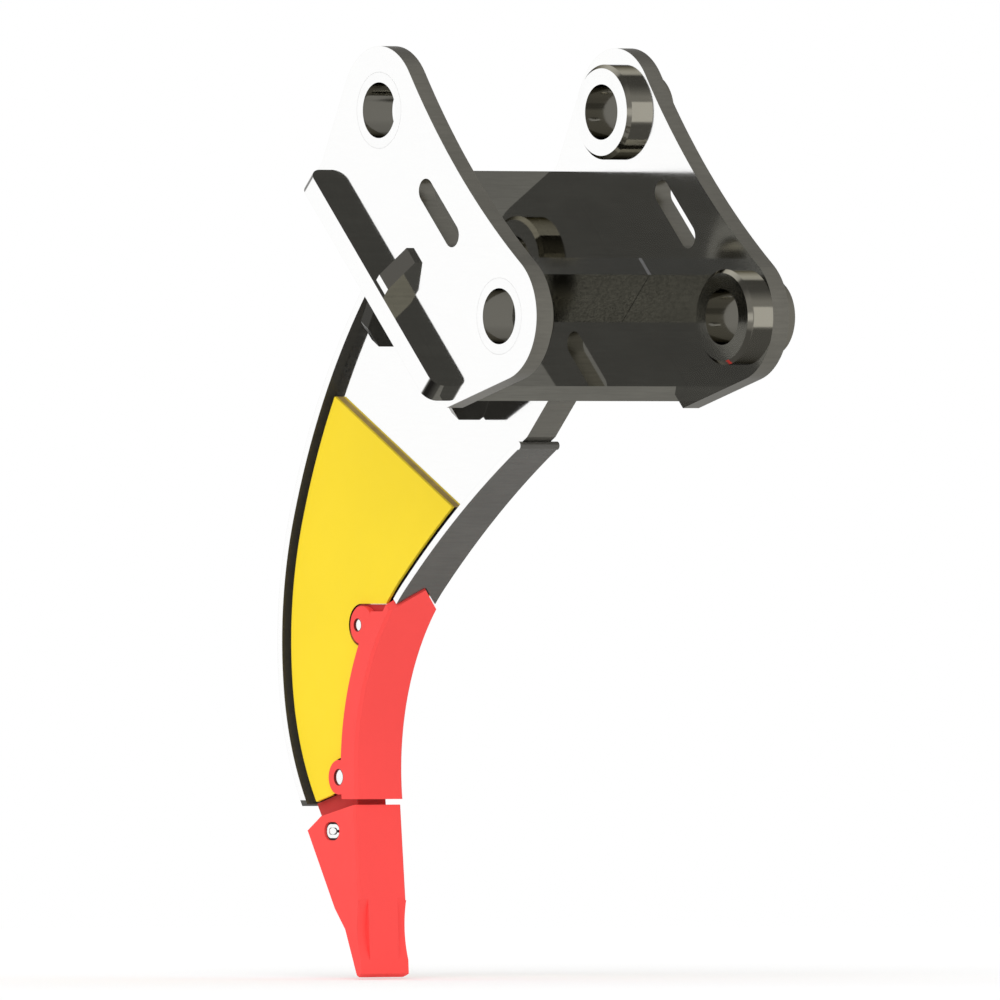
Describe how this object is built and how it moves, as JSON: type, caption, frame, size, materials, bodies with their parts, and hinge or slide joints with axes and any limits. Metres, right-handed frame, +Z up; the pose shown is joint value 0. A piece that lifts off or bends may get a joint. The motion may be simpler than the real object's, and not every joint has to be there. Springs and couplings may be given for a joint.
{
  "type": "excavator ripper attachment",
  "caption": "Single-shank excavator ripper: pin ears on a base plate, curved shank with rear flange and side wear plates, nose shroud, adapter and pinned chisel tooth.",
  "frame": {"origin": "middle of the upper pin bore, on the shank's middle plane", "axes": "+Z up as hung in the picture, +X towards the machine and the shank's hollow front, Y along the pins"},
  "size_m": [0.8963, 0.5125, 1.339],
  "materials": {
    "plate_steel": "bright ground plate",
    "dark_steel": "dark rolled plate",
    "wear_yellow": "satin paint",
    "paint_red": "satin paint",
    "pin_steel": "bright turned steel",
    "lock_rubber": "matt"
  },
  "bodies": {
    "root": {"left_ear": "plate_steel", "right_ear": "plate_steel", "left_upper_boss": "plate_steel", "left_lower_boss": "plate_steel", "right_upper_boss": "plate_steel", "right_lower_boss": "plate_steel", "base_plate": "plate_steel", "cross_bar": "dark_steel", "left_ear_gusset": "dark_steel", "right_ear_gusset": "dark_steel", "left_front_gusset": "dark_steel", "left_rear_gusset": "dark_steel", "right_front_gusset": "dark_steel", "right_rear_gusset": "dark_steel", "shank_web": "plate_steel", "rear_flange": "plate_steel", "front_wear_strip": "dark_steel", "left_wear_plate": "wear_yellow", "right_wear_plate": "wear_yellow", "left_shroud_pad": "paint_red", "right_shroud_pad": "paint_red", "shroud": "paint_red", "shroud_upper_pin": "pin_steel", "shroud_lower_pin": "pin_steel", "nose_adapter": "paint_red", "tooth": "paint_red", "tooth_pin": "pin_steel", "tooth_pin_lock": "lock_rubber"}
  },
  "joints": []
}
